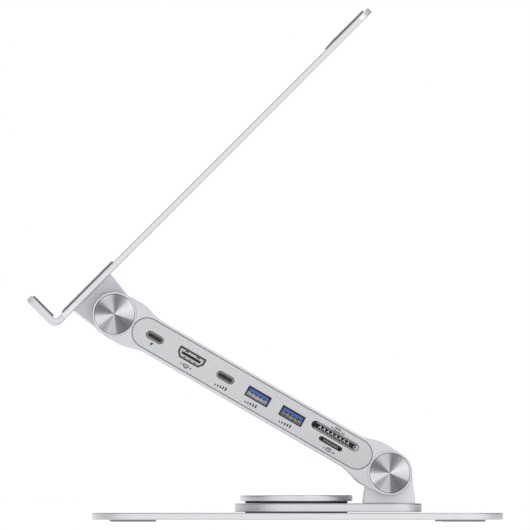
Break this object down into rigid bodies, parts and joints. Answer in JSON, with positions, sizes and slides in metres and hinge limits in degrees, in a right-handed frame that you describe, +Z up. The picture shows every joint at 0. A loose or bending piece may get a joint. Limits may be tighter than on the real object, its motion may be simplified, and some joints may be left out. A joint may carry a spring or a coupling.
{
  "type": "laptop docking station stand",
  "caption": "Folding aluminium laptop stand on a turntable, with a tilting tray, a friction-hinged arm and a port hub built into the arm's side.",
  "frame": {"origin": "on the desk, on the turntable's axis", "axes": "+Z up; +X from the user to the back; +Y across the tray, away from the side with the ports"},
  "size_m": [0.2443, 0.24, 0.2632],
  "materials": {
    "silver_plate": "fine bead-blasted anodised",
    "silver_bracket": "satin anodised",
    "silver_arm": "fine bead-blasted anodised",
    "grey_panel": "matte",
    "turned_cap": "spun, with a radial sheen",
    "polished_cap": "polished edge",
    "dark_rubber": "matte",
    "grey_mat": "matte",
    "steel": "plain",
    "port_steel": "stamped",
    "black_plastic": "matte",
    "blue_plastic": "matte",
    "white_plastic": "matte",
    "dark_plastic": "matte",
    "circuit_board": "solder mask"
  },
  "bodies": {
    "base": {"base_plate": "silver_plate", "base_feet": "dark_rubber", "spindle": "steel", "lower_friction_ring": "dark_rubber", "upper_friction_ring": "dark_rubber", "turntable_cap": "polished_cap", "spindle_screws": "steel"},
    "turntable": {"turntable_plate": "silver_plate", "turntable_bush": "white_plastic", "lower_bracket": "silver_bracket", "lower_bracket_screws": "steel"},
    "arm": {"arm_housing": "silver_arm", "port_panel": "grey_panel", "rear_panel": "grey_panel", "lower_hinge_shaft": "steel", "upper_hinge_shaft": "steel", "hinge_friction_discs": "dark_plastic", "hinge_spring_washers": "steel", "hinge_nuts": "steel", "lower_hinge_caps": "turned_cap", "upper_hinge_caps": "turned_cap", "main_board": "circuit_board", "hub_chips": "black_plastic", "usb_c_power_port": "port_steel", "usb_c_data_port": "port_steel", "usb_c_host_port": "port_steel", "usb_c_tongues": "black_plastic", "hdmi_port": "port_steel", "hdmi_tongue": "black_plastic", "usb_a_port_1": "port_steel", "usb_a_port_2": "port_steel", "usb_a_tongues": "blue_plastic", "sd_card_slot": "port_steel", "micro_sd_slot": "port_steel"},
    "tray": {"tray_plate": "silver_plate", "upper_bracket": "silver_bracket", "upper_bracket_screws": "steel", "lower_mat": "grey_mat", "upper_mat": "grey_mat", "hook_pads": "grey_mat"}
  },
  "joints": [
    {"name": "base_spin", "type": "hinge", "parent": "base", "child": "turntable", "pos_m": [0, 0, 0.0072], "axis": [0, 0, 1], "continuous": true},
    {"name": "arm_tilt", "type": "hinge", "parent": "turntable", "child": "arm", "pos_m": [0.0477, 0, 0.025], "axis": [0, 1, 0], "range_deg": [-30, 20]},
    {"name": "tray_tilt", "type": "hinge", "parent": "arm", "child": "tray", "pos_m": [-0.09416, 0, 0.1069], "axis": [0, -1, 0], "range_deg": [-75, 45]}
  ]
}
